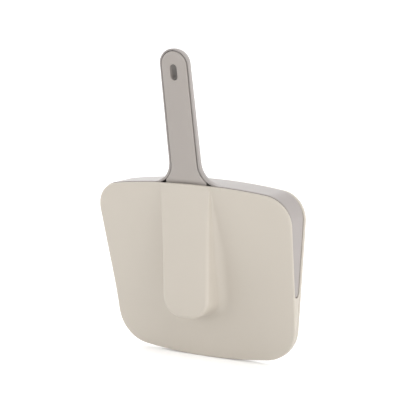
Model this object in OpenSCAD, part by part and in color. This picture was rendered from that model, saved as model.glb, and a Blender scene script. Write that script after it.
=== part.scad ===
// Dustpan and brush in a flat wall case.
// X is to the right, the front is -Y, +Z is up. The origin is on the wall side of the case,
// midway between the two wall-screw holes. Lengths are in millimetres.

/* [Case] */
// Greatest width of the case
case_w = 231; // [215:1:250]
// Height of the case at its middle
case_h = 193.5; // [186:0.5:200]
// Depth of the case at the middle of its top edge
top_depth = 51; // [49:0.5:54]
// Depth of the case at its middle, where the front face turns steeper
fold_depth = 19.5; // [18.5:0.5:21]
// Depth of the case at the middle of its bottom edge
base_depth = 9.5; // [9.5:0.25:11]
// Height at which the front face turns steeper
fold_z = 62; // [58:1:66]
// Height of the bottom of the side openings
opening_z = 76.5; // [74:0.5:80]
// Radius of the bow across the front face
bow_r = 980; // [900:10:1200]
// Wall thickness of the case
wall = 2.4; // [2.2:0.1:2.6]
// Height of the wall-screw holes above the bottom edge
screw_h = 150; // [130:5:160]
// Distance between the two wall-screw holes
screw_pitch = 140; // [110:5:150]
// Radius of a wall-screw hole
screw_hole_r = 2.25; // [1.75:0.25:2.75]

/* [Bulge] */
// Half-width of the raised channel at the top
bulge_top_w = 29.4; // [29:0.2:31]
// Half-width of the raised channel where its round end starts
bulge_low_w = 27.6; // [27.4:0.2:29]
// Corner radius of the round end
bulge_r = 22; // [20:0.5:23]
// Height of the centre of the round end's corners
bulge_z = 72; // [68:1:80]

/* [Handles] */
// Forward lean of both handles, in degrees
lean = 10.76; // [9:0.25:12]
// Radius of the dustpan's handle at its base
pan_grip_r0 = 18.2; // [17.8:0.1:19]
// Radius of the dustpan's handle at its round end
pan_grip_r1 = 17.1; // [16.8:0.1:17.6]
// Radius of the brush's handle at its base
grip_r0 = 15.2; // [15:0.1:15.4]
// Radius of the brush's handle at its round end
grip_r1 = 14.6; // [14.4:0.1:14.8]
// Length of the handles from the case to the centre of their round ends
grip_len = 127; // [120:1:135]
// Width of the hanging slot
slot_w = 8.3; // [7:0.1:9]
// Length of the hanging slot
slot_len = 17; // [15:0.5:20]

/* [Brush] */
// Rows of tufts across the brush
tuft_rows = 9; // [5:2:9]
// Distance between neighbouring rows
row_pitch = 5; // [4.6:0.1:5.2]
// Distance between neighbouring tufts in a row
tuft_pitch = 7.4; // [7:0.1:9]
// Radius of a tuft
tuft_r = 1.7; // [1.4:0.1:1.8]

/* [Hidden] */
$fn = 96;

case_colour = [0.82, 0.79, 0.74];
pan_colour = [0.75, 0.73, 0.70];
brush_colour = [0.69, 0.66, 0.63];
lip_colour = [0.55, 0.52, 0.49];
tuft_colour = [0.30, 0.28, 0.26];
steel_colour = [0.72, 0.72, 0.74];

// Outline of the case, seen from the front
top_r = 640;
bottom_r = 650;
top_corner_r = 30;
bottom_corner_r = 38;
side_a = 3.52;
widest_z = 150;
side_x0 = case_w / 2 - widest_z * tan(side_a);
corner_steps = 10;
edge_steps = 8;

// Case
deep = 80;
rim_d = 4.5;
opening_r = 5.3;
top_over = 20;
opening_c = opening_z + opening_r;
front_a = atan((top_depth - fold_depth) / (case_h - fold_z));
base_a = atan((fold_depth - base_depth) / fold_z);
boss_r = 3.4;
boss_z = 9.5;
boss_x = [-62, -22, 22, 62];
case_screw_r = 1.2;
case_screw_head_r = 2.4;
case_screw_head_h = 1.2;
case_screw_len = 4.5;
screw_gap = 0.2;
head_gap = 0.3;

// Dustpan
pan_gap = 0.8;
pan_back = 5.6;
pan_floor = 2.2;
pan_wall = 2.4;
pan_rim_in = 0.8;
pan_up = 1.6;
pan_low_in = 3.4;
fit = 0.3;
pan_lip_z = 30;
lip_end_z = 16;
lip_thin = 1.1;
notch_w = 31;
notch_back = 32;
notch_z = 180;
grip_y = 47.7;
grip_z = 193;
grip_root = 1.8;
grip_u0 = 20;
grip_clear = 0.7;
slot_u = grip_len - 7;
foot_r = 23;
foot_in_r = 23;
foot_in_z = -1.5;
foot_rise = 4;

// Brush
neck_top = foot_in_r + foot_in_z;
neck_low = 4.5;
neck_v = 8;
dome_rise = 2.5;
dome_z = 2.2;
dome_r = (grip_r1 * grip_r1 + dome_rise * dome_rise) / (2 * dome_rise);
part_v = 4;
shell_t = 2.4;
shell_u = 9;
shell_screw_u = [45, 92];
shell_screw_r = 1.25;
shell_screw_head_r = 2.6;
shell_screw_head_h = 1.8;
shell_screw_v = 9;
shell_screw_tip = 0.6;
join = 0.01;
over = 1;
head_in = 3.5;
head_r = bulge_r - head_in;
head_w = bulge_low_w - head_in;
head_top_z = 190;
head_corner_r = 6;
head_front = 47.8;
head_plate_t = 3.4;
block_t = 8;
block_in = 1.2;
block_front = head_front - head_plate_t;
block_back = block_front - block_t;
block_top_z = head_top_z - neck_low - fit;
tuft_depth = 5;
tuft_end = 9.5;
tuft_edge = 3.4;
tuft_gap = 0.05;
neck_step = 1.5;
anchor_h = 1;
anchor_w = 2.6;
anchor_t = 0.4;
block_screw_z = [78, 122, 166];
block_screw_r = 1.25;
block_screw_head_r = 2.6;
block_screw_head_h = 1.6;
screw_skin = 1;
screw_keep = 0.8;
row_z0 = 52;
row_z1 = block_top_z - tuft_edge;

// ---- Shared shapes ----

// Moves a sub-part drawn with z = 0 at the bottom edge of the case into the part's frame
module placed() {
    translate([0, 0, -screw_h]) children();
}

// Points on an arc about c from angle a0 to a1
function arc(c, r, a0, a1, n) =
    [for (i = [0:n]) c + r * [cos(a0 + (a1 - a0) * i / n), sin(a0 + (a1 - a0) * i / n)]];

// Centre of a corner of radius r that touches the straight side and the edge arc of radius
// edge_r about (0, cz). up is 1 for the top corner and -1 for the bottom one.
function corner(r, cz, edge_r, up) =
    let (dir = [sin(side_a), cos(side_a)],
         start = [side_x0 - r * cos(side_a), r * sin(side_a)],
         w = start - [0, cz],
         b = w * dir,
         q = w * w - (edge_r - r) * (edge_r - r))
    start + (up * sqrt(b * b - q) - b) * dir;

top_c = corner(top_corner_r, case_h - top_r, top_r, 1);
low_c = corner(bottom_corner_r, bottom_r, bottom_r, -1);
top_a = atan2(top_c.y - case_h + top_r, top_c.x);
low_a = atan2(low_c.y - bottom_r, low_c.x);

// Right half of the case's outline, moved inwards by inset
function half_outline(inset) = concat(
    arc([0, bottom_r], bottom_r - inset, -90, low_a, edge_steps),
    arc(low_c, bottom_corner_r - inset, low_a, -side_a, corner_steps),
    arc(top_c, top_corner_r - inset, -side_a, top_a, corner_steps),
    arc([0, case_h - top_r], top_r - inset, top_a, 90, edge_steps));

// Both halves of a right-hand outline whose first and last points are on the middle line
function both_halves(half) =
    concat(half, [for (i = [len(half) - 2:-1:1]) [-half[i].x, half[i].y]]);

// Case outline moved inwards by inset, filling the depths from front to back
module plate(inset, front, back) {
    translate([0, -back, 0]) rotate([90, 0, 0])
        linear_extrude(front - back) polygon(both_halves(half_outline(inset)));
}

// Everything above height z
module above(z) {
    translate([-case_w, -case_w, z]) cube(2 * case_w);
}

// Everything below height z
module below(z) {
    above(z - 2 * case_w);
}

// Everything in front of depth y
module before(y) {
    translate([-case_w, -2 * case_w - y, -case_w]) cube([2 * case_w, 2 * case_w, 3 * case_w]);
}

// Everything behind the bowed front face, moved back by t
module behind_front(t) {
    for (a = [front_a, base_a])
        translate([0, -fold_depth, fold_z]) rotate([a, 0, 0]) translate([0, bow_r, 0])
            cylinder(r = bow_r - t, h = 3 * case_h, center = true, $fn = 720);
}

// Bar along X that rounds the bottom of the side openings
module opening_bar(r) {
    translate([0, -rim_d - opening_r, opening_c]) rotate([0, 90, 0])
        cylinder(r = r, h = 2 * case_w, center = true);
}

// Frame of the leaning handles: X across, Y towards the back, Z up along the handle
module handle_frame() {
    translate([0, -grip_y, grip_z]) rotate([lean, 0, 0]) children();
}

// Solid from depth v0 to v1 of a shape drawn in the handle's front plane
module along_v(v0, v1) {
    translate([0, v1, 0]) rotate([90, 0, 0]) linear_extrude(v1 - v0) children();
}

// Half-width at distance u of a bar that tapers from r0 to r1
function bar_w(r0, r1, u) = r1 + (r0 - r1) * (grip_len - u) / (grip_len - grip_u0);

// Handle's tapered round bar with its round end, from distance u0
module grip_bar(r0, r1, u0) {
    translate([0, 0, u0]) cylinder(r1 = bar_w(r0, r1, u0), r2 = r1, h = grip_len - u0);
    translate([0, 0, grip_len]) sphere(r = r1);
}

// Part of the handle's frame from depth v0 to v1
module slab(v0, v1) {
    translate([-case_w, v0, -case_w]) cube([2 * case_w, v1 - v0, 2 * case_w]);
}

// Solid through the whole depth of a shape seen from the front, with z = 0 at the handle's foot
module through_y() {
    translate([0, 0, grip_z]) rotate([90, 0, 0])
        linear_extrude(2 * case_w, center = true) children();
}

// Foot of a handle of half-width w, widening by r on both sides down to height z0, as deep as
// v0 to v1 and rounded off like the handle at its top
module foot(w, r, z0, v0, v1) intersection() {
    through_y() difference() {
        translate([-w - r, -grip_root]) square([2 * (w + r), r + grip_root]);
        for (s = [-1, 1]) translate([s * (w + r), r + z0]) circle(r = r);
    }
    handle_frame() intersection() {
        slab(v0, v1);
        rotate_extrude() difference() {
            translate([0, -w]) square([w + r, w + r + foot_rise]);
            translate([w + r, r + z0 + foot_rise]) circle(r = r);
        }
    }
}

// Hanging slot, with extra clearance all round
module slot_2d(extra) {
    r = slot_w / 2 + extra;
    reach = (slot_len - slot_w) / 2;
    for (s = [-1, 1]) translate([0, slot_u + s * reach]) circle(r = r);
    translate([-r, slot_u - reach]) square([2 * r, 2 * reach]);
}

// Hanging slot as a solid through both handles
module slot(extra) {
    along_v(-grip_y, grip_y) slot_2d(extra);
}

// Screw along +Y whose head's flat face is at the origin's back side
module screw(r, head_r, head_h, len) {
    rotate([90, 0, 0]) {
        translate([0, 0, -head_h]) cylinder(r = head_r, h = head_h);
        cylinder(r = r, h = len);
    }
}

// Screw hole along +Y from depth y0 to depth y1
module hole(r, y0, y1) {
    translate([0, y1, 0]) rotate([90, 0, 0]) cylinder(r = r, h = y1 - y0);
}

// ---- Case ----

// Right half of the raised channel's outline, moved inwards by inset
function half_bulge(inset) =
    let (taper = atan((bulge_top_w - bulge_low_w) / (case_h - bulge_z)),
         low = [bulge_low_w - bulge_r, bulge_z],
         r = bulge_r - inset)
    concat([[0, bulge_z - r]],
           arc(low, r, -90, -taper, corner_steps),
           [[bulge_top_w - inset + top_over * tan(taper), case_h + top_over],
            [0, case_h + top_over]]);

// Raised channel filling the depths from front to back
module bulge(inset, front, back) {
    translate([0, -back, 0]) rotate([90, 0, 0])
        linear_extrude(front - back) polygon(both_halves(half_bulge(inset)));
}

// Round post between the back panel and the front face
module cover_boss(x) intersection() {
    translate([x, 0, boss_z]) hole(boss_r, -fold_depth, -wall);
    behind_front(wall / 2);
}

module front_cover() color(case_colour) placed() difference() {
    union() {
        difference() {
            union() {
                intersection() {
                    plate(0, deep, rim_d);
                    behind_front(0);
                }
                intersection() {
                    plate(0, top_depth, rim_d);
                    bulge(0, top_depth, 0);
                }
            }
            intersection() {
                behind_front(wall);
                union() {
                    plate(wall, deep, -over);
                    above(opening_c);
                }
            }
            bulge(wall, top_depth - wall, 0);
            opening_bar(opening_r);
        }
        for (x = boss_x) cover_boss(x);
    }
    for (x = boss_x) translate([x, 0, boss_z])
        hole(case_screw_r, -case_screw_head_h - case_screw_len - screw_gap, 0);
}

module back_panel() color(case_colour) placed() difference() {
    union() {
        plate(0, wall, 0);
        difference() {
            plate(0, rim_d, 0);
            plate(wall, rim_d + over, -over);
        }
    }
    for (s = [-1, 1]) translate([s * screw_pitch / 2, 0, screw_h])
        hole(screw_hole_r, -wall - over, over);
    for (x = boss_x) translate([x, 0, boss_z]) {
        hole(case_screw_r + screw_gap, -wall - over, over);
        hole(case_screw_head_r + head_gap, -case_screw_head_h, over);
    }
}

module case_screws() color(steel_colour) placed()
    for (x = boss_x) translate([x, -case_screw_head_h, boss_z])
        screw(case_screw_r, case_screw_head_r, case_screw_head_h, case_screw_len);

// ---- Dustpan ----

// Pan without its hollow: wide above the side openings' bottom and narrow below it.
// inset moves its sides inwards and shoulder raises its step.
module pan_block(inset, shoulder) {
    intersection() {
        translate([0, 0, pan_up]) plate(pan_rim_in + inset, deep, 0);
        union() {
            above(opening_c + shoulder);
            if (shoulder == 0) opening_bar(opening_r - pan_gap);
        }
    }
    plate(pan_low_in + inset, deep, 0);
}

module pan_tray() difference() {
    intersection() {
        pan_block(0, 0);
        behind_front(wall + pan_gap);
        before(pan_back);
        above(pan_lip_z);
    }
    intersection() {
        pan_block(pan_wall, pan_wall);
        before(pan_back + pan_floor);
    }
    intersection() {
        translate([-notch_w, -deep, notch_z]) cube([2 * notch_w, deep, deep]);
        before(notch_back);
    }
}

module pan_grip() difference() {
    union() {
        intersection() {
            foot(pan_grip_r0, foot_r, 0, 0, pan_grip_r0);
            union() {
                behind_front(wall + pan_gap);
                above(case_h);
            }
        }
        intersection() {
            handle_frame() intersection() {
                grip_bar(pan_grip_r0, pan_grip_r1, -pan_grip_r0);
                slab(0, grip_len);
            }
            above(grip_z - grip_root);
        }
    }
    foot(grip_r0 + grip_clear, foot_in_r, foot_in_z, -over, grip_r0 + grip_clear);
    handle_frame() {
        grip_bar(grip_r0 + grip_clear, grip_r1 + grip_clear, -pan_grip_r0);
        slot(fit);
    }
}

module dustpan_body() color(pan_colour) placed() {
    pan_tray();
    pan_grip();
}

// Soft wedge along the pan's front edge
module lip_strip() color(lip_colour) placed() intersection() {
    plate(pan_low_in, fold_depth, 0);
    behind_front(wall + pan_gap);
    rotate([90, 0, 90]) linear_extrude(2 * case_w, center = true)
        polygon([[-pan_back, lip_end_z], [-pan_back, pan_lip_z],
                 [-pan_back - pan_floor, pan_lip_z], [-pan_back - lip_thin, lip_end_z]]);
}

// ---- Brush ----

// Right half of the brush head's outline, moved inwards by inset
function half_head(inset) =
    let (r = head_corner_r - inset,
         side = head_w - head_corner_r,
         low_r = head_r - inset)
    concat([[0, bulge_z - low_r]],
           arc([head_w - head_r, bulge_z], low_r, -90, 0, corner_steps),
           arc([side, head_top_z - head_corner_r], r, 0, 90, edge_steps),
           [[0, head_top_z - inset]]);

module head_plate(inset, front, back) {
    translate([0, -back, 0]) rotate([90, 0, 0])
        linear_extrude(front - back) polygon(both_halves(half_head(inset)));
}

// Front view of the brush's handle
module grip_outline() {
    foot_w = bar_w(grip_r0, grip_r1, 0);
    polygon([[-foot_w, 0], [foot_w, 0], [grip_r1, grip_len], [-grip_r1, grip_len]]);
    translate([0, grip_len]) circle(r = grip_r1);
}

// Half-width of the brush's neck at height z above the foot: it follows the dustpan's foot
function neck_w(z) = min(head_w,
    grip_r0 + foot_in_r - sqrt(foot_in_r * foot_in_r - (neck_top - z) * (neck_top - z)));

// Neck that widens from the handle to the head, as deep as v0 to v1
module neck(v0, v1) intersection() {
    through_y() polygon(both_halves(concat(
        [[0, -neck_low], [neck_w(0), -neck_low]],
        [for (z = [0:neck_step:neck_top]) [neck_w(z), z]],
        [[0, neck_top]])));
    handle_frame() slab(v0, v1);
}

module brush_front_shell() color(brush_colour) placed() difference() {
    union() {
        head_plate(0, head_front, block_front);
        neck(0, part_v);
        intersection() {
            handle_frame() intersection() {
                along_v(-dome_rise, join) grip_outline();
                translate([0, dome_r - dome_rise, -over]) cylinder(r = dome_r, h = 2 * grip_len);
            }
            above(grip_z + dome_z);
        }
        intersection() {
            handle_frame() union() {
                intersection() {
                    grip_bar(grip_r0, grip_r1, -shell_u);
                    slab(0, part_v);
                }
                along_v(0, neck_v) translate([-grip_r0, -shell_u])
                    square([2 * grip_r0, 2 * shell_u - fit]);
            }
            above(grip_z - neck_low);
        }
    }
    handle_frame() {
        slot(0);
        for (u = shell_screw_u) translate([0, 0, u]) hole(shell_screw_r, -shell_screw_tip, grip_r0);
    }
    for (z = block_screw_z) translate([0, 0, z])
        hole(block_screw_r, screw_skin - head_front, -block_back);
}

module brush_back_shell() color(brush_colour) placed() handle_frame() difference() {
    intersection() {
        grip_bar(grip_r0, grip_r1, shell_u);
        slab(part_v, grip_len);
    }
    difference() {
        intersection() {
            grip_bar(grip_r0 - shell_t, grip_r1 - shell_t, shell_u + shell_t);
            slab(part_v - over, grip_len);
        }
        for (u = shell_screw_u) translate([0, 0, u])
            hole(shell_screw_head_r + shell_t, 0, grip_len);
        along_v(0, grip_len) slot_2d(shell_t);
    }
    slot(0);
    for (u = shell_screw_u) translate([0, 0, u]) {
        hole(shell_screw_r + screw_gap, 0, grip_len);
        hole(shell_screw_head_r + head_gap, shell_screw_v, grip_len);
    }
}

module shell_screws() color(steel_colour) placed() handle_frame()
    for (u = shell_screw_u) translate([0, shell_screw_v, u])
        screw(shell_screw_r, shell_screw_head_r, shell_screw_head_h, shell_screw_v + fit);

// Distance of row i from the middle of the brush
function row_x(i) = (i - (tuft_rows + 1) / 2) * row_pitch;

// Lowest height in the round end of the head at distance x, kept off the edge
function row_low(x) =
    let (r = head_r - tuft_edge, out = max(0, abs(x) - (head_w - head_r)))
    bulge_z - sqrt(max(0, r * r - out * out));

// Tufts of row i: every other row is shifted by half a pitch, and the screws are kept clear
function row_tufts(i) =
    let (x = row_x(i),
         shift = i % 2 == 0 ? tuft_pitch / 2 : 0,
         keep = block_screw_head_r + tuft_r + screw_keep)
    [for (z = [row_z0 + shift:tuft_pitch:row_z1])
        if (z > row_low(x) && min([for (s = block_screw_z) norm([x, z - s])]) > keep)
        [x, z]];

function all_tufts() = [for (i = [1:tuft_rows]) each row_tufts(i)];

module brush_block() color(brush_colour) placed() difference() {
    intersection() {
        head_plate(block_in, block_front, block_back);
        below(block_top_z);
    }
    translate([0, -block_back, 0]) rotate([90, 0, 0]) linear_extrude(tuft_depth) {
        for (p = all_tufts()) translate(p) circle(r = tuft_r + tuft_gap, $fn = 24);
        for (z = block_screw_z) translate([0, z]) circle(r = block_screw_head_r + head_gap);
    }
    for (z = block_screw_z) translate([0, 0, z])
        hole(block_screw_r + screw_gap, -block_front, -block_back);
}

module block_screws() color(steel_colour) placed()
    for (z = block_screw_z) translate([0, -block_back - tuft_depth, z])
        screw(block_screw_r, block_screw_head_r, block_screw_head_h,
              head_front - screw_skin - block_back - tuft_depth - screw_gap);

// Flat wire that holds a folded tuft at the bottom of its hole
module tuft_anchors() color(steel_colour) placed()
    for (p = all_tufts())
        translate([p.x - anchor_w / 2, -block_back - tuft_depth, p.y - anchor_t / 2])
            cube([anchor_w, anchor_h, anchor_t]);

module tuft_row(i) color(tuft_colour) placed()
    for (p = row_tufts(i)) translate([p.x, 0, p.y])
        hole(tuft_r, -block_back - tuft_depth + anchor_h, -tuft_end, $fn = 24);

front_cover();
back_panel();
case_screws();
dustpan_body();
lip_strip();
brush_front_shell();
brush_back_shell();
shell_screws();
brush_block();
block_screws();
tuft_anchors();
for (i = [1:tuft_rows]) tuft_row(i);
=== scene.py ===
import math
import random

import bmesh
import bpy
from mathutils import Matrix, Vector


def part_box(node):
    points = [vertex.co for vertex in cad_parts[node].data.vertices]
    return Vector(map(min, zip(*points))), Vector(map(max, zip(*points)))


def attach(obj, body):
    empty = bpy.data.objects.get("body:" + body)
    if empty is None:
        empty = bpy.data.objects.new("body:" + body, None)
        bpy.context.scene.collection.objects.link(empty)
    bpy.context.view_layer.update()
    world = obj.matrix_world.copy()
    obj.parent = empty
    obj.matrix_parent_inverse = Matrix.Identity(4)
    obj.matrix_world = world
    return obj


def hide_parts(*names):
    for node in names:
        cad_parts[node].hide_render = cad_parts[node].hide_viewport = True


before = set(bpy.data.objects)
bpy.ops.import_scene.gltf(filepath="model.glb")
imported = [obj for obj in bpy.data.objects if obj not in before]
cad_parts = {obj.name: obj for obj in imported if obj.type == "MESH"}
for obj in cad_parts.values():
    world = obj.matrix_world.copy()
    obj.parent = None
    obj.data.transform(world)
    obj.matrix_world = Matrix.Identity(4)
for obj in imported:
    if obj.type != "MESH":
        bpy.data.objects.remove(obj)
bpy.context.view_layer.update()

# ---- Sizes, in millimetres. z is counted from the bottom edge of the case. ----

MM = 0.001
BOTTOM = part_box("back_panel")[0].z / MM     # height of the case's bottom edge in the frame
CASE_H = (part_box("back_panel")[1].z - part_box("back_panel")[0].z) / MM
CASE_W, CASE_W_Z = 231.0, 150.0             # width between the straight sides, and its height

# Outline of the case, seen from the front
TOP_R, LOW_R = 640.0, 650.0
TOP_CORNER_R, LOW_CORNER_R = 30.0, 38.0
SIDE_A = math.radians(3.52)
SIDE_X0 = CASE_W / 2 - CASE_W_Z * math.tan(SIDE_A)

# Depths of the case
TOP_DEPTH, FOLD_DEPTH, BASE_DEPTH = 51.0, 19.5, 9.5
FOLD_Z = 62.0
BOW_R = 980.0                               # radius of the front face's bow across X
WALL = 2.4
RIM_D = 4.5
OPEN_R = 5.3                                # round bottom of the side openings
OPEN_C = (-RIM_D - OPEN_R, 76.5 + OPEN_R)   # its centre: depth and height
OPEN_X = 90.0                               # the openings lie further out than this
SEAM = 0.12                                 # gap between cover and rim below the openings
FRONT_A = math.atan((TOP_DEPTH - FOLD_DEPTH) / (CASE_H - FOLD_Z))
BASE_A = math.atan((FOLD_DEPTH - BASE_DEPTH) / FOLD_Z)

# Edge rounding of the cover, front and back
EDGE_R, COVER_BACK_R = 1.6, 0.7

# Holes in the back panel: wall screws, and recesses for the heads of the case screws
WALL_SCREW_X, WALL_SCREW_Z, WALL_SCREW_R = 70.0, 150.0, 2.25
BOSS_X, BOSS_Z = (-62, -22, 22, 62), 9.5
RECESS_R, RECESS_D = 2.6, 1.2

# Raised channel: half-widths at its top and low end, corner radius and height of the corners
BULGE_TOP_W, BULGE_LOW_W, BULGE_R, BULGE_Z = 29.4, 27.6, 22.0, 72.0

# Handles. GRIP_Y and GRIP_Z are where their shared front line starts, GRIP_LEN is its length.
LEAN = math.radians(10.76)
GRIP_Y, GRIP_Z, GRIP_LEN = -47.7, 193.0, 127.0
GRIP_U0 = 20.0                              # the pairs below are half-widths here and at the end
PAN_GRIP, PAN_HOLLOW, BRUSH_GRIP = (18.2, 17.1), (15.9, 15.3), (15.2, 14.6)
FOOT_R = 23.0                               # quarter-round between handle and tray
FOOT_IN_Z = -1.5                            # height where the pan's inner foot runs level
FOOT_SINK = 1.8                             # how far the pan's foot reaches into its tray
SLOT_W, SLOT_LEN = 8.3, 17.0
SLOT_DROP = 7.0                             # slot's middle below the centre of the handle's end

# Dustpan: depths of its back and floor, its gap inside the cover and its wall's thickness
PAN_BACK, PAN_FLOOR = -5.6, -7.8
PAN_GAP, PAN_WALL = 0.8, 2.4
# How far it lies inside the case's outline above and below the openings, how far its top is
# raised, and the height of its lip
PAN_IN, PAN_LOW_IN, PAN_UP, PAN_LIP = 0.8, 3.4, 1.6, 30.0
# The top edge is let back for the brush: half-width, lowest height and depth
NOTCH_W, NOTCH_Z, NOTCH_BACK = 31.0, 180.0, -32.0


# ---- Mesh making ----

class Skin:
    """A mesh put together from rows of points, in millimetres with z from the case's bottom."""

    def __init__(self):
        self.points = []
        self.faces = []

    def row(self, points):
        first = len(self.points)
        self.points.extend(points)
        return list(range(first, len(self.points)))

    def strip(self, a, b, closed=True):
        """Quads between two rows of the same length."""
        n = len(a)
        for i in range(n if closed else n - 1):
            j = (i + 1) % n
            self.faces.append((a[i], a[j], b[j], b[i]))

    def rings(self, rows, cap_first=False, cap_last=False):
        """A tube through closed rows of points, with flat ends where asked."""
        made = [self.row(r) for r in rows]
        for a, b in zip(made, made[1:]):
            self.strip(a, b)
        if cap_first:
            self.faces.append(tuple(reversed(made[0])))
        if cap_last:
            self.faces.append(tuple(made[-1]))
        return made

    def mesh(self, name, sharp=32):
        mesh = bpy.data.meshes.new(name)
        mesh.from_pydata([(x * MM, y * MM, (z + BOTTOM) * MM) for x, y, z in self.points],
                         [], self.faces)
        mesh.validate()
        fix_normals(mesh)
        smooth(mesh, sharp)
        return mesh


def fix_normals(mesh):
    bm = bmesh.new()
    bm.from_mesh(mesh)
    bmesh.ops.recalc_face_normals(bm, faces=bm.faces)
    bm.to_mesh(mesh)
    bm.free()


def smooth(mesh, sharp):
    mesh.polygons.foreach_set("use_smooth", [True] * len(mesh.polygons))
    mesh.set_sharp_from_angle(angle=math.radians(sharp))


def new_object(name, mesh):
    obj = bpy.data.objects.new(name, mesh)
    bpy.context.scene.collection.objects.link(obj)
    return obj


def boolean(obj, cutter, operation, sharp=32):
    """Joins or cuts obj with cutter, and removes the cutter."""
    mod = obj.modifiers.new("boolean", "BOOLEAN")
    mod.object = cutter
    mod.operation = operation
    mod.solver = "EXACT"
    graph = bpy.context.evaluated_depsgraph_get()
    mesh = bpy.data.meshes.new_from_object(obj.evaluated_get(graph))
    obj.modifiers.clear()
    obj.data = mesh
    bpy.data.objects.remove(cutter)
    smooth(mesh, sharp)


# ---- The case's outline and front face ----

def corner(r, cz, edge_r, up):
    """Centre of a corner of radius r between the straight side and an edge arc about (0, cz)."""
    dx, dz = math.sin(SIDE_A), math.cos(SIDE_A)
    sx, sz = SIDE_X0 - r * dz, r * dx
    wx, wz = sx, sz - cz
    b = wx * dx + wz * dz
    q = wx * wx + wz * wz - (edge_r - r) ** 2
    t = up * math.sqrt(b * b - q) - b
    return sx + t * dx, sz + t * dz


TOP_CZ = CASE_H - TOP_R
TOP_C = corner(TOP_CORNER_R, TOP_CZ, TOP_R, 1)
LOW_C = corner(LOW_CORNER_R, LOW_R, LOW_R, -1)
TOP_A = math.atan2(TOP_C[1] - TOP_CZ, TOP_C[0])
LOW_A = math.atan2(LOW_C[1] - LOW_R, LOW_C[0])


def arc(cx, cz, r, a0, a1, n):
    """n + 1 pairs of a point on an arc and its outward direction."""
    out = []
    for i in range(n + 1):
        a = a0 + (a1 - a0) * i / n
        out.append(((cx + r * math.cos(a), cz + r * math.sin(a)), (math.cos(a), math.sin(a))))
    return out


def top_at(x, inset=0.0):
    """Height of the outline's top arc at x, and its outward direction there."""
    r = TOP_R - inset
    z = math.sqrt(r * r - x * x)
    return (x, TOP_CZ + z), (x / r, z / r)


def side_at(z, inset=0.0):
    """Point of the straight side at height z, and its outward direction."""
    n = (math.cos(SIDE_A), -math.sin(SIDE_A))
    return (SIDE_X0 + z * math.tan(SIDE_A) - inset * n[0], z - inset * n[1]), n


def moved(point, inset):
    """An outline point moved inwards."""
    (x, z), (nx, nz) = point
    return x - inset * nx, z - inset * nz


def front_y(x, z, t=0.0):
    """Depth of the case's bowed front face, moved back by t."""
    c = BOW_R - math.sqrt((BOW_R - t) ** 2 - x * x)
    planes = [-FOLD_DEPTH + (c - (z - FOLD_Z) * math.sin(a)) / math.cos(a)
              for a in (FRONT_A, BASE_A)]
    sharpness = 2.0
    total = sum(math.exp(-sharpness * (y - planes[0])) for y in planes)
    return -math.log(total) / sharpness + planes[0]


def side_heights():
    """Heights of the points along the straight side, close together where the opening ends."""
    turn_steps, upper_steps, lower_steps = 9, 14, 6
    top, low = TOP_C[1] - 3, LOW_C[1] + 1
    turn = [OPEN_C[1] - OPEN_R * math.sin(math.pi / 2 * k / turn_steps)
            for k in range(turn_steps + 1)]
    turn.append(turn[-1] - 0.05)
    upper = [top - (top - turn[0]) * i / upper_steps for i in range(1, upper_steps)]
    lower = [turn[-1] - (turn[-1] - low) * i / lower_steps for i in range(1, lower_steps)]
    return upper + turn + lower


def lower_outline():
    """Right half of the outline from the start of its top corner to the bottom's middle."""
    a_side = -SIDE_A
    upper = arc(*TOP_C, TOP_CORNER_R, TOP_A, a_side, 14)
    side = [side_at(z) for z in side_heights()]
    lower = arc(*LOW_C, LOW_CORNER_R, a_side, LOW_A, 16)
    bottom = arc(0, LOW_R, LOW_R, LOW_A, -math.pi / 2, 10)[1:]
    return upper, side, lower, bottom


def full_outline():
    """The whole outline as one closed row: right half from the top's middle, then the left."""
    steps = 12
    top_x = TOP_C[0] + TOP_CORNER_R * math.cos(TOP_A)
    right = [top_at(top_x * i / steps) for i in range(steps)]
    for part in lower_outline():
        right += part
    left = [((-x, z), (-nx, nz)) for (x, z), (nx, nz) in reversed(right[1:-1])]
    return right + left


# ---- Front cover ----

def bulge_edge(inset, share):
    """Point and direction on the channel's edge. share runs 0 to 1 down the side, 1 to 2
    round the corner and 2 to 3 to the middle."""
    taper = math.atan((BULGE_TOP_W - BULGE_LOW_W) / (CASE_H - BULGE_Z))
    cx = BULGE_LOW_W - BULGE_R
    r = BULGE_R - inset
    if share <= 1:
        n = (math.cos(taper), -math.sin(taper))
        start = (cx + r * n[0], BULGE_Z + r * n[1])
        z = CASE_H - (CASE_H - start[1]) * share
        return (start[0] + (z - start[1]) * math.tan(taper), z), n
    if share <= 2:
        a = -taper + (-math.pi / 2 + taper) * (share - 1)
        n = (math.cos(a), math.sin(a))
        return (cx + r * n[0], BULGE_Z + r * n[1]), n
    return (cx * (3 - share), BULGE_Z - r), (0.0, -1.0)


def shares():
    """How far along the channel's edge each point of the lower outline belongs."""
    upper, side, lower, bottom = lower_outline()
    down = upper + side
    run = [0.0]
    for (a, _), (b, _) in zip(down, down[1:]):
        run.append(run[-1] + math.dist(a, b))
    end = run[-1] + math.dist(down[-1][0], lower[0][0])
    out = [s / end for s in run]
    out += [1 + i / (len(lower) - 1) for i in range(len(lower))]
    out += [2 + (i + 1) / len(bottom) for i in range(len(bottom))]
    return out


def wall_profile(height, round_top, round_low, draft):
    """Distance out from the channel's edge and drop from its face, down its wall."""
    rt, rl = min(round_top, 0.4 * height), min(round_low, 0.55 * height)
    steps = 7
    angles = [math.pi / 2 * i / steps for i in range(steps + 1)]
    out = [(-rt * (1 - math.sin(a)), rt * (1 - math.cos(a))) for a in angles]
    out += [(draft + rl * (1 - math.cos(a)), height - rl + rl * math.sin(a)) for a in angles]
    return out


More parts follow.
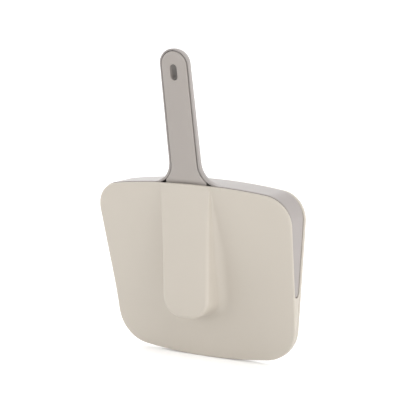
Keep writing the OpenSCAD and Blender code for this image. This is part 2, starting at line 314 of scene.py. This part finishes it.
def cover_skin(skin, t, inset):
    """One face of the cover, moved back by t, as a grid of rows. Returns its closed border
    as (index, outline point) pairs, from the top's middle round by the right."""
    face_y = -TOP_DEPTH + t
    outline = [p for part in lower_outline() for p in part]
    spread = 22                             # points from the channel's foot to the outline
    settle = 12                             # rows over which the top edge's arc fades out
    rounding, draft = ((4.5, 10.0), 0.5) if t == 0 else ((2.0, 5.0), -0.2)
    rows = []
    for i, (edge, share) in enumerate(zip(outline, shares())):
        (bx, bz), (nx, nz) = bulge_edge(t, share)
        base = front_y(bx, bz, t)
        height = max(base - face_y, 0.05)
        points = []
        for d, drop in wall_profile(height, *rounding, draft):
            x, z = bx + nx * d, bz + nz * d
            if i == 0:
                x, z = top_at(x, inset)[0]
            y = face_y + drop
            if drop > height / 2:
                y = y + front_y(x, z, t) - base
            points.append((x, y, z))
        x0, z0 = points[-1][0], points[-1][2]
        x1, z1 = moved(edge, inset)
        for k in range(1, spread + 1):
            s = k / spread
            x, z = x0 + (x1 - x0) * s, z0 + (z1 - z0) * s
            if i < settle and x < x1:
                rise = top_at(x, inset)[0][1] - z0 - (top_at(x1, inset)[0][1] - z0) * s
                z += rise * (1 - i / settle) ** 2
            if i == 0:
                z = top_at(x, inset)[0][1]
            points.append((x, front_y(x, z, t), z))
        rows.append(points)
    right = [skin.row(r) for r in rows]
    left = [skin.row([(-x, y, z) for x, y, z in r]) for r in rows[:-1]] + [right[-1]]
    for side in (right, left):
        for a, b in zip(side, side[1:]):
            skin.strip(a, b, closed=False)
    # the channel's flat face, with points along its top edge
    x_top = rows[0][0][0]
    across = 8
    top_xs = [x_top * (1 - 2 * k / across) for k in range(1, across)]
    top_row = skin.row([(x, face_y, top_at(x, inset)[0][1]) for x in top_xs])
    skin.faces.append(tuple([r[0] for r in right[::-1]] + top_row
                            + [r[0] for r in left[:-1]]))
    # border, from the middle of the top edge
    half = across // 2
    border = []
    for k in range(half - 1, -1, -1):
        index = top_row[k]
        border.append((index, top_at(skin.points[index][0])))
    for index in right[0]:
        border.append((index, top_at(skin.points[index][0])))
    border.pop(half + len(right[0]) - 1)
    border += [(row[-1], edge) for row, edge in zip(right, outline)]
    left_indices = top_row[half:] + left[0][:-1] + [row[-1] for row in left[:-1]]
    mirror = [(index, ((-p[0], p[1]), (-n[0], n[1])))
              for index, (_, (p, n)) in zip(left_indices, border[1:-1])]
    return border + mirror[::-1]


def opening_edge(x, z, back):
    """Depth at which the cover's wall ends: at its sheet, or at the seam below the opening."""
    sheet = front_y(x, z, WALL)
    drop = OPEN_C[1] - z
    if drop <= 0:
        return sheet
    if drop <= OPEN_R + 0.01:
        return max(sheet, OPEN_C[0] - math.sqrt(max(OPEN_R ** 2 - drop ** 2, 0)))
    return back


def front_cover():
    skin = Skin()
    outer = cover_skin(skin, 0.0, EDGE_R)
    inner = cover_skin(skin, WALL, WALL + 0.5)
    rows = [[index for index, _ in outer]]
    points = [(skin.points[index][1], edge) for index, edge in outer]
    seam = -RIM_D - SEAM
    front_steps, back_steps = 4, 3

    def ring(place):
        made = []
        for y_front, edge in points:
            (x, z), _ = edge
            inset, y = place(y_front, opening_edge(abs(x), z, seam))
            px, pz = moved(edge, inset)
            made.append((px, y, pz))
        rows.append(skin.row(made))

    for k in range(1, front_steps + 1):
        a = math.pi / 2 * k / front_steps
        ring(lambda f, b: (EDGE_R * (1 - math.sin(a)), f + EDGE_R * (1 - math.cos(a))))
    back_r = COVER_BACK_R
    for k in range(back_steps + 1):
        a = math.pi / 2 * k / back_steps
        ring(lambda f, b: (back_r * (1 - math.cos(a)), b - back_r * (1 - math.sin(a))))
    ring(lambda f, b: (WALL - 0.3, b))
    ring(lambda f, b: (WALL, b - 0.2))
    rows.append([index for index, _ in inner])
    for a, b in zip(rows, rows[1:]):
        skin.strip(a, b)
    return skin.mesh("front_cover")


# ---- Back panel ----

def panel_edge(z, x):
    """Depth of the rim's front edge, which curls forward under the side openings."""
    drop = OPEN_C[1] - z
    if abs(x) > OPEN_X and 0 < drop <= OPEN_R + 0.01:
        return OPEN_C[0] + math.sqrt(max(OPEN_R ** 2 - drop ** 2, 0))
    return -RIM_D


def back_panel():
    outline = full_outline()

    def ring(inset, depth):
        out = []
        for p in outline:
            x, z = moved(p, inset)
            out.append((x, depth(panel_edge(p[0][1], p[0][0])), z))
        return out

    back_r, back_steps = 0.9, 4
    rows = [ring(back_r + 0.4, lambda e: 0.0), ring(back_r, lambda e: 0.0)]
    for k in range(1, back_steps + 1):
        a = math.pi / 2 * k / back_steps
        rows.append(ring(back_r * (1 - math.sin(a)), lambda e: -back_r * (1 - math.cos(a))))
    edge_r, edge_steps = 1.2, 3
    for k in range(edge_steps + 1):
        a = math.pi / 2 * k / edge_steps
        rows.append(ring(edge_r * (1 - math.cos(a)), lambda e: e + edge_r * (1 - math.sin(a))))
    rows.append(ring(WALL - 0.4, lambda e: e))
    rows.append(ring(WALL, lambda e: e + 0.4))
    rows.append(ring(WALL, lambda e: -WALL - 0.6))
    rows.append(ring(WALL + 0.6, lambda e: -WALL))
    skin = Skin()
    skin.rings(rows, cap_first=True, cap_last=True)
    obj = new_object("back_panel_shell", skin.mesh("back_panel_shell"))
    for s in (-1, 1):
        boolean(obj, drill(s * WALL_SCREW_X, WALL_SCREW_Z, WALL_SCREW_R, -4), "DIFFERENCE")
    for x in BOSS_X:
        boolean(obj, drill(x, BOSS_Z, RECESS_R, -RECESS_D), "DIFFERENCE")
    return obj


def drill(x, z, r, depth, steps=40):
    """A round cutter along Y, from depth to 1 mm behind the panel's back."""
    angles = [2 * math.pi * i / steps for i in range(steps)]
    circle = [(x + r * math.cos(a), z + r * math.sin(a)) for a in angles]
    skin = Skin()
    skin.rings([[(px, y, pz) for px, pz in circle] for y in (depth, 1)], True, True)
    return new_object("cutter", skin.mesh("cutter"))


# ---- Handles ----

def handle_point(x, v, u):
    """From the leaning handle's frame (across, back, along) to the case's frame."""
    return (x, GRIP_Y - u * math.sin(LEAN) + v * math.cos(LEAN),
            GRIP_Z + u * math.cos(LEAN) + v * math.sin(LEAN))


def slot_cutter(extra):
    """The hanging slot as a solid that runs through both handles."""
    r = SLOT_W / 2 + extra
    reach = (SLOT_LEN - SLOT_W) / 2
    mid = GRIP_LEN - SLOT_DROP
    steps = 16
    loop = []
    for side, start in ((1, 0), (-1, math.pi)):
        for i in range(steps + 1):
            a = math.pi * i / steps + start
            loop.append((r * math.cos(a), mid + side * reach + r * math.sin(a)))
    skin = Skin()
    skin.rings([[handle_point(x, v, u) for x, u in loop] for v in (-8, 30)], True, True)
    return new_object("cutter", skin.mesh("cutter"))


def bar_w(radii, u):
    """Half-width of a tapered handle at distance u."""
    r0, r1 = radii
    return r1 + (r0 - r1) * (GRIP_LEN - u) / (GRIP_LEN - GRIP_U0)


def fillet(r, h):
    """Extra half-width of a foot's quarter-round of radius r at height h."""
    return r - math.sqrt(max(r * r - (r - h) ** 2, 0)) if h < r else 0.0


def section_point(x, v, z, tilt):
    """Point of a section that meets the handle's front line at height z. The section is level
    at tilt 0 and square to the handle at tilt 1."""
    b = LEAN * tilt
    v /= math.cos(LEAN - b)
    return (x, GRIP_Y - (z - GRIP_Z) * math.tan(LEAN) + v * math.cos(b), z + v * math.sin(b))


def pan_section(outer, inner, place_out, place_in):
    """Closed C-shaped section of the dustpan's handle. outer and inner are each a half-width,
    a depth and a power that makes the half-ellipse squarer."""
    (w_out, d_out, p_out), (w_in, d_in, p_in) = outer, inner
    steps = 30
    r = min(0.5, 0.3 * (w_out - w_in))
    loop = []

    def half(w, d, p, i):
        a = math.pi * i / steps
        c, s = math.cos(a), math.sin(a)
        return w * math.copysign(abs(c) ** (2 / p), c), d * abs(s) ** (2 / p)

    def edge(side, w, place, into_wall, order):
        """Two points of a rounded front edge."""
        for k in order:
            a = math.pi / 2 * k / 2
            x = side * (w + into_wall * r * (1 - math.cos(a)))
            loop.append(place(x, r * (1 - math.sin(a))))

    for i in range(steps + 1):
        x, v = half(w_out, d_out, p_out, i)
        loop.append(place_out(x, max(v, r)))
    edge(-1, w_out, place_out, -1, (1, 2))
    edge(-1, w_in, place_in, 1, (2, 1))
    for i in range(steps, -1, -1):
        x, v = half(w_in, d_in, p_in, i)
        loop.append(place_in(x, max(v, r)))
    edge(1, w_in, place_in, 1, (1, 2))
    edge(1, w_out, place_out, -1, (2, 1))
    return loop


def pan_handle():
    rows = []
    top_z = GRIP_Z + GRIP_LEN * math.cos(LEAN)

    def add(h, z, tilt):
        u = h / math.cos(LEAN)
        wo, wi = bar_w(PAN_GRIP, u), bar_w(PAN_HOLLOW, u)
        eo, ei = fillet(FOOT_R, h), fillet(FOOT_R, h - FOOT_IN_Z)

        def place(x, v):
            return section_point(x, v, z, tilt)

        rows.append(pan_section((wo + eo, wo, 2 + 3 * (eo / FOOT_R) ** 2),
                                (wi + ei, wi, 2 + 3 * (ei / FOOT_R) ** 2),
                                place, place))

    foot_steps, bar_steps, end_steps = 15, 24, 12
    add(0, GRIP_Z - FOOT_SINK, 0)
    for k in range(foot_steps + 1):
        h = FOOT_R * (k / foot_steps) ** 1.8
        add(h, GRIP_Z + h, 0)
    for k in range(1, bar_steps + 1):
        h = FOOT_R + (top_z - GRIP_Z - FOOT_R) * k / bar_steps
        add(h, GRIP_Z + h, min(1, k / (bar_steps / 2)))
    ro, ri = PAN_GRIP[1], PAN_HOLLOW[1]
    for k in range(1, end_steps + 1):
        a = math.pi / 2 * k / (end_steps + 0.3)
        c, s = math.cos(a), math.sin(a)
        rows.append(pan_section(
            (ro * c, ro * c, 2), (ri * c, ri * c, 2),
            lambda x, v: handle_point(x, v, GRIP_LEN + ro * s),
            lambda x, v: handle_point(x, v, GRIP_LEN + ri * s)))
    skin = Skin()
    skin.rings(rows, cap_first=True, cap_last=True)
    return new_object("dustpan_handle", skin.mesh("dustpan_handle", 40))


# ---- Dustpan tray ----

def pan_path(inset, shoulder):
    """Closed path of the tray seen from the front, moved inwards by inset: wide above the
    height shoulder and narrow below it."""
    a, b, lip = PAN_IN + inset, PAN_LOW_IN + inset, PAN_LIP + inset
    notch_steps, top_steps, side_steps, low_steps, floor_steps = 5, 9, 9, 4, 10
    step_w = 0.03                           # half-width of the step at the notch's side
    x_end = TOP_C[0] + (TOP_CORNER_R - a) * math.cos(TOP_A)
    xs = [NOTCH_W * k / notch_steps for k in range(notch_steps)]
    xs += [NOTCH_W - step_w, NOTCH_W + step_w]
    xs += [NOTCH_W + (x_end - NOTCH_W) * k / top_steps for k in range(1, top_steps)]
    right = [top_at(x, a)[0] for x in xs]
    right += [moved(p, a) for p in arc(*TOP_C, TOP_CORNER_R, TOP_A, -SIDE_A, 16)]
    right = [(x, z + PAN_UP) for x, z in right]
    top_z = right[-1][1]

    def side(z, i):
        return side_at(z, i)[0][0], z

    last_z = OPEN_C[1] - OPEN_R + 12
    right += [side(top_z - (top_z - last_z) * k / side_steps, a)
              for k in range(1, side_steps + 1)]
    right += [side(last_z - (last_z - shoulder - 0.7) * k / 3, a) for k in (1, 2, 3)]
    x, _ = side(shoulder, a)
    right += [(x - 0.2, shoulder + 0.2), (x - 0.7, shoulder)]
    x, _ = side(shoulder, b)
    right += [(x + 0.4, shoulder), (x, shoulder - 0.4)]
    corner_z = LOW_C[1]
    right += [side(shoulder - 0.4 - (shoulder - 0.4 - corner_z) * k / low_steps, b)
              for k in range(1, low_steps)]
    low = math.asin((lip - LOW_C[1]) / (LOW_CORNER_R - b))
    right += [moved(p, b) for p in arc(*LOW_C, LOW_CORNER_R, -SIDE_A, low, 8)]
    x_low = right[-1][0]
    right += [(x_low * (1 - k / floor_steps), lip) for k in range(1, floor_steps + 1)]
    left = [(-x, z) for x, z in reversed(right[1:-1])]
    return right + left


def pan_tray():
    def tops(points):
        """Depth of the wall's front edge at each point. It is let back for the brush."""
        out = []
        for x, z in points:
            y = front_y(abs(x), z, WALL + PAN_GAP)
            if abs(x) < NOTCH_W and z > NOTCH_Z:
                y = NOTCH_BACK
            out.append(min(y, PAN_FLOOR - 0.15))
        return out

    fronts = tops(pan_path(0, OPEN_C[1]))

    def ring(inset, depth, drop=0.0):
        return [(x, depth(y, PAN_FLOOR - y), z)
                for (x, z), y in zip(pan_path(inset, OPEN_C[1] + inset - drop), fronts)]

    back_r, back_inset, back_steps = 0.9, 1.6, 4
    rows = [ring(back_inset + 0.3, lambda y, h: PAN_BACK)]
    for k in range(back_steps + 1):
        a = math.pi / 2 * k / back_steps
        rows.append(ring(back_inset * (1 - math.sin(a)),
                         lambda y, h: PAN_BACK - back_r * (1 - math.cos(a))))
    bar_r, bar_steps = OPEN_R - PAN_GAP, 12
    for k in range(1, bar_steps):
        s = k / bar_steps
        rows.append(ring(0, lambda y, h: PAN_BACK - back_r + (y + 0.5 - PAN_BACK + back_r) * s,
                         bar_r * math.sqrt(1 - (2 * s - 1) ** 2)))
    for inset, back in ((0, 0.5), (0.15, 0.15), (0.5, 0), (1.9, 0), (2.25, 0.15), (2.4, 0.5)):
        rows.append(ring(inset, lambda y, h: y + min(back, 0.3 * h)))
    rows.append(ring(PAN_WALL, lambda y, h: PAN_FLOOR - min(1.6, 0.4 * h)))
    rows.append(ring(PAN_WALL + 0.5, lambda y, h: PAN_FLOOR - min(0.5, 0.2 * h)))
    rows.append(ring(PAN_WALL + 1.6, lambda y, h: PAN_FLOOR))
    skin = Skin()
    skin.rings(rows, cap_first=True, cap_last=True)
    return new_object("dustpan", skin.mesh("dustpan"))


def dustpan():
    obj = pan_tray()
    boolean(obj, pan_handle(), "UNION", 38)
    boolean(obj, slot_cutter(0.3), "DIFFERENCE", 38)
    return obj


# ---- Brush ----

# The head's half-width, corner radius, front face and thickness
HEAD_W, HEAD_R, HEAD_Y, HEAD_T = 24.1, 18.5, -47.8, 3.4
HEAD_TOP = 182.0                            # height where the head starts to thicken
HEAD_STEPS = ((185, 3.6), (188, 5.0), (190.5, 7.0))     # height and thickness above that
GRIP_DOME, GRIP_EDGE = 1.3, 1.3             # crown and edge rounding of the grip


def neck_extra(h):
    """Extra half-width of the brush's neck at height h: it follows the dustpan's foot."""
    return min(fillet(FOOT_R, h - FOOT_IN_Z), HEAD_W - BRUSH_GRIP[0])


def brush_section(place, w, dome, thick, edge=1.0, back_w=None):
    """Closed section of the brush's front half, from its front at -dome - edge to thick.
    place(x, v) gives a point."""
    n = 14
    back_w = w if back_w is None else back_w
    edge = min(edge, 0.45 * w)
    inner = w - edge
    front = [(-inner + 2 * inner * i / n, -edge - dome * (1 - (2 * i / n - 1) ** 2))
             for i in range(n + 1)]
    turn = [math.pi / 2 * k / 5 for k in range(1, 6)]
    right = [(inner + edge * math.sin(a), -edge * math.cos(a)) for a in turn]
    soft = min(0.4, 0.3 * w)
    right += [(back_w, thick - soft), (back_w - soft, thick)]
    left = [(-x, v) for x, v in reversed(right)]
    across = [((back_w - soft) * (1 - i / 3), thick) for i in range(1, 6)]
    return [place(x, v) for x, v in front + right + across + left]


def brush_front():
    edge = 1.0

    def upright(z, y=HEAD_Y + edge):
        return lambda x, v: (x, y + v, z)

    rows = []
    low_steps, head_steps, neck_steps, grip_steps, end_steps = 8, 15, 21, 23, 13
    for k in range(low_steps + 1):
        a = math.pi / 2 * k / low_steps
        w = HEAD_W - HEAD_R + HEAD_R * math.sin(a)
        rows.append(brush_section(upright(BULGE_Z - HEAD_R * math.cos(a)), w, 0, HEAD_T - edge))
    for k in range(1, head_steps + 1):
        z = BULGE_Z + (HEAD_TOP - BULGE_Z) * k / head_steps
        rows.append(brush_section(upright(z), HEAD_W, 0, HEAD_T - edge))
    for z, thick in HEAD_STEPS:
        rows.append(brush_section(upright(z), HEAD_W, 0, thick - edge))
    neck_u0, neck_len = 0.3, 26
    for k in range(neck_steps + 1):
        u = neck_u0 + neck_len * k / neck_steps
        share = min(u / 7, 1)
        rise = 3 * share ** 2 - 2 * share ** 3
        thick = 7 - 3 * min(max((u - 5) / 4, 0), 1)
        w = bar_w(BRUSH_GRIP, u) + neck_extra(u * math.cos(LEAN))
        e = 0.9 + 0.4 * rise
        rows.append(brush_section(
            lambda x, v: handle_point(x, v + 1.0 - 0.9 * rise, u),
            w, 0.1 + 1.2 * rise, thick - 1.0 + 0.9 * rise, e, w - 0.1 * thick))
    neck_u1 = neck_u0 + neck_len
    for k in range(1, grip_steps + 1):
        u = neck_u1 + (GRIP_LEN - neck_u1) * k / grip_steps
        w = bar_w(BRUSH_GRIP, u) + neck_extra(u * math.cos(LEAN))
        rows.append(brush_section(lambda x, v: handle_point(x, v + 0.1, u), w,
                                  GRIP_DOME, 3.9, GRIP_EDGE))
    w_top = BRUSH_GRIP[1]
    for k in range(1, end_steps + 1):
        a = math.pi / 2 * k / (end_steps + 0.3)
        c = math.cos(a)
        sink = 0.1 + GRIP_DOME * (1 - c)
        rows.append(brush_section(
            lambda x, v: handle_point(x, v + sink, GRIP_LEN + w_top * math.sin(a)),
            w_top * c, GRIP_DOME * c, 4 - sink, GRIP_EDGE))
    skin = Skin()
    skin.rings(rows, cap_first=True, cap_last=True)
    obj = new_object("brush_front", skin.mesh("brush_front", 40))
    boolean(obj, slot_cutter(0.0), "DIFFERENCE", 40)
    return obj


FILAMENTS, TUFT_R, GOLDEN_ANGLE = 26, 1.45, 2.399963
# Shares of a filament's length, and its half-diagonal at each
FILAMENT_STEPS = ((0, 0.17), (0.5, 0.17), (0.9, 0.15), (1, 0.09))


def tuft_points(node):
    """Middle and depth range of each tuft of a CAD row."""
    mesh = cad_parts[node].data
    reach = 2.5 * MM
    seen = {}
    for v in mesh.vertices:
        key = None
        for k in seen:
            if math.dist(k, (v.co.x, v.co.z)) < reach:
                key = k
                break
        if key is None:
            key = (v.co.x, v.co.z)
            seen[key] = []
        seen[key].append(v.co)
    out = []
    for group in seen.values():
        xs, ys, zs = zip(*[(p.x, p.y, p.z) for p in group])
        out.append(((min(xs) + max(xs)) / 2 / MM, min(ys) / MM, max(ys) / MM,
                    (min(zs) + max(zs)) / 2 / MM - BOTTOM))
    return out


def tuft_row(node, rng):
    """A row of tufts, each a bundle of tapered filaments that spread towards their tips."""
    skin = Skin()
    for x, y0, y1, z in tuft_points(node):
        for k in range(FILAMENTS):
            a = k * GOLDEN_ANGLE
            r = TUFT_R * math.sqrt((k + 0.5) / FILAMENTS)
            bx, bz = x + r * math.cos(a), z + r * math.sin(a)
            spread = 1.12 + rng.uniform(-0.1, 0.1)
            tx = x + (bx - x) * spread + rng.uniform(-0.12, 0.12)
            tz = z + (bz - z) * spread + rng.uniform(-0.12, 0.12)
            length = rng.uniform(-0.5, 0.0)
            turn = rng.uniform(0, 2)
            rows = []
            for s, size in FILAMENT_STEPS:
                cx, cz = bx + (tx - bx) * s ** 1.6, bz + (tz - bz) * s ** 1.6
                y = y0 + (y1 + length - y0) * s
                rows.append([(cx + size * math.cos(turn + q * math.pi / 2), y,
                              cz + size * math.sin(turn + q * math.pi / 2)) for q in range(4)])
            skin.rings(rows, True, True)
    return new_object(node + "_filaments", skin.mesh(node + "_filaments", 60))


# ---- Materials ----

def nodes_of(name):
    mat = bpy.data.materials.new(name)
    mat.use_nodes = True
    tree = mat.node_tree
    return mat, tree, tree.nodes["Principled BSDF"]


def ramp(tree, source, low, high):
    mix = tree.nodes.new("ShaderNodeMix")
    mix.data_type = "RGBA"
    mix.inputs["A"].default_value = (*low, 1)
    mix.inputs["B"].default_value = (*high, 1)
    tree.links.new(source, mix.inputs["Factor"])
    return mix.outputs["Result"]


def noise(tree, coords, scale, detail, rough=0.5):
    node = tree.nodes.new("ShaderNodeTexNoise")
    node.inputs["Scale"].default_value = scale
    node.inputs["Detail"].default_value = detail
    node.inputs["Roughness"].default_value = rough
    tree.links.new(coords, node.inputs["Vector"])
    return node.outputs["Fac"]


def plastic(name, colour, rough, grain=0.00002, speck=0.015):
    """Moulded plastic: fine spark-eroded grain, faint flow marks and slight handling polish."""
    mat, tree, shader = nodes_of(name)
    coords = tree.nodes.new("ShaderNodeTexCoord").outputs["Object"]
    cloud = noise(tree, coords, 22, 3)
    low = [c * (1 - speck) for c in colour]
    high = [min(c * (1 + speck), 1) for c in colour]
    tree.links.new(ramp(tree, cloud, low, high), shader.inputs["Base Color"])
    wear = noise(tree, coords, 60, 4)
    spread = tree.nodes.new("ShaderNodeMapRange")
    spread.inputs["To Min"].default_value = rough - 0.05
    spread.inputs["To Max"].default_value = rough + 0.05
    tree.links.new(wear, spread.inputs["Value"])
    tree.links.new(spread.outputs["Result"], shader.inputs["Roughness"])
    fine = noise(tree, coords, 2600, 2, 0.6)
    bump = tree.nodes.new("ShaderNodeBump")
    bump.inputs["Distance"].default_value = grain
    bump.inputs["Strength"].default_value = 0.5
    tree.links.new(fine, bump.inputs["Height"])
    tree.links.new(bump.outputs["Normal"], shader.inputs["Normal"])
    shader.inputs["IOR"].default_value = 1.47
    return mat


def steel(name):
    mat, tree, shader = nodes_of(name)
    coords = tree.nodes.new("ShaderNodeTexCoord").outputs["Object"]
    fine = noise(tree, coords, 900, 3)
    tree.links.new(ramp(tree, fine, (0.26, 0.26, 0.27), (0.38, 0.38, 0.39)),
                   shader.inputs["Base Color"])
    shader.inputs["Metallic"].default_value = 1.0
    shader.inputs["Roughness"].default_value = 0.35
    return mat


def filament(name):
    mat, tree, shader = nodes_of(name)
    coords = tree.nodes.new("ShaderNodeTexCoord").outputs["Object"]
    fine = noise(tree, coords, 1400, 2)
    tree.links.new(ramp(tree, fine, (0.10, 0.09, 0.08), (0.19, 0.17, 0.15)),
                   shader.inputs["Base Color"])
    shader.inputs["Roughness"].default_value = 0.42
    return mat


BEIGE = plastic("case_plastic", (0.396, 0.361, 0.313), 0.48)
TAUPE_PAN = plastic("pan_plastic", (0.256, 0.233, 0.222), 0.46)
TAUPE_BRUSH = plastic("brush_plastic", (0.268, 0.243, 0.224), 0.44)
RUBBER = plastic("lip_rubber", (0.235, 0.205, 0.185), 0.7, 0.00004)
STEEL = steel("screw_steel")
FILAMENT = filament("bristle")


def finish_piece(obj, material, body, slot, *nodes):
    obj.data.materials.clear()
    obj.data.materials.append(material)
    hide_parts(*nodes)
    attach(obj, body)


def repaint(node, material):
    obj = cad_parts[node]
    for place in obj.material_slots:
        place.link = "OBJECT"
        place.material = material


# ---- Pieces ----

cover = new_object("front_cover_shell", front_cover())
finish_piece(cover, BEIGE, "holder", "case_plastic", "front_cover")
finish_piece(back_panel(), BEIGE, "holder", "case_plastic", "back_panel")
finish_piece(dustpan(), TAUPE_PAN, "dustpan", "pan_plastic", "dustpan_body")
finish_piece(brush_front(), TAUPE_BRUSH, "brush", "brush_plastic", "brush_front_shell")

rng = random.Random(7)
for node in sorted(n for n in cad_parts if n.startswith("tuft_row_")):
    finish_piece(tuft_row(node, rng), FILAMENT, "brush", "bristle", node)

for node in ("brush_back_shell", "brush_block"):
    repaint(node, TAUPE_BRUSH)
for node in ("case_screws", "shell_screws", "block_screws", "tuft_anchors"):
    repaint(node, STEEL)
repaint("lip_strip", RUBBER)


# ---- Stage, light and camera ----

def floor():
    half = 40.0
    mesh = bpy.data.meshes.new("floor")
    z = BOTTOM * MM - 0.0002
    mesh.from_pydata([(-half, -half, z), (half, -half, z), (half, half, z), (-half, half, z)],
                     [], [(0, 1, 2, 3)])
    obj = new_object("floor", mesh)
    mat, tree, shader = nodes_of("floor_paper")
    coords = tree.nodes.new("ShaderNodeTexCoord").outputs["Object"]
    tree.links.new(ramp(tree, noise(tree, coords, 3, 2), (0.90, 0.90, 0.90),
                        (0.92, 0.92, 0.92)), shader.inputs["Base Color"])
    shader.inputs["Roughness"].default_value = 0.9
    shader.inputs["Specular IOR Level"].default_value = 0.1
    shader.inputs["Emission Color"].default_value = (1, 1, 1, 1)
    shader.inputs["Emission Strength"].default_value = 0.1
    mesh.materials.append(mat)


def studio_world():
    """Soft surround whose strength is a base plus a share for each side it comes from."""
    world = bpy.data.worlds.new("studio")
    world.use_nodes = True
    tree = world.node_tree
    split = tree.nodes.new("ShaderNodeSeparateXYZ")
    tree.links.new(tree.nodes.new("ShaderNodeTexCoord").outputs["Generated"],
                   split.inputs["Vector"])

    def math_node(operation, a, b):
        node = tree.nodes.new("ShaderNodeMath")
        node.operation = operation
        for socket, value in zip(node.inputs, (a, b)):
            if isinstance(value, float):
                socket.default_value = value
            else:
                tree.links.new(value, socket)
        return node.outputs["Value"]

    def share(axis, strength):
        """Light that grows towards one end of an axis; the sign of strength picks the end."""
        return math_node("MAXIMUM", math_node("MULTIPLY", split.outputs[axis], strength), 0.0)

    surround = math_node("ADD", math_node("ADD", share("X", -2.5), share("Y", 1.28)), 0.02)
    tree.links.new(surround, tree.nodes["Background"].inputs["Strength"])
    tree.nodes["Background"].inputs["Color"].default_value = (1, 1, 1, 1)
    bpy.context.scene.world = world


def sun(name, azimuth, elevation, spread, power):
    a, e = math.radians(azimuth), math.radians(elevation)
    light = bpy.data.lights.new(name, "SUN")
    light.angle = math.radians(spread)
    light.energy = power
    obj = bpy.data.objects.new(name, light)
    towards = Vector((math.sin(a) * math.cos(e), -math.cos(a) * math.cos(e), math.sin(e)))
    obj.rotation_mode = "QUATERNION"
    obj.rotation_quaternion = (-towards).to_track_quat("-Z", "Y")
    bpy.context.scene.collection.objects.link(obj)


def camera(azimuth, elevation, distance, target, lens):
    a, e = math.radians(azimuth), math.radians(elevation)
    back = Vector((math.sin(a) * math.cos(e), -math.cos(a) * math.cos(e), math.sin(e)))
    data = bpy.data.cameras.new("camera")
    data.lens = lens
    data.sensor_width = 36.0
    data.clip_start, data.clip_end = 0.05, 200
    obj = bpy.data.objects.new("camera", data)
    obj.location = Vector(target) + back * distance
    obj.rotation_mode = "QUATERNION"
    obj.rotation_quaternion = (-back).to_track_quat("-Z", "Y")
    bpy.context.scene.collection.objects.link(obj)
    bpy.context.scene.camera = obj


floor()
studio_world()
sun("right", azimuth=82, elevation=13, spread=50, power=2.8)
sun("high_right", azimuth=55, elevation=45, spread=50, power=0.9)
sun("front", azimuth=-3, elevation=6, spread=60, power=1.45)
sun("top", azimuth=170, elevation=75, spread=60, power=0.9)
bpy.context.scene.view_settings.view_transform = "Standard"

camera(azimuth=29.81, elevation=9.22, distance=1.581,
       target=(0.0008, -0.020, (172.3 + BOTTOM) * MM), lens=134.7)
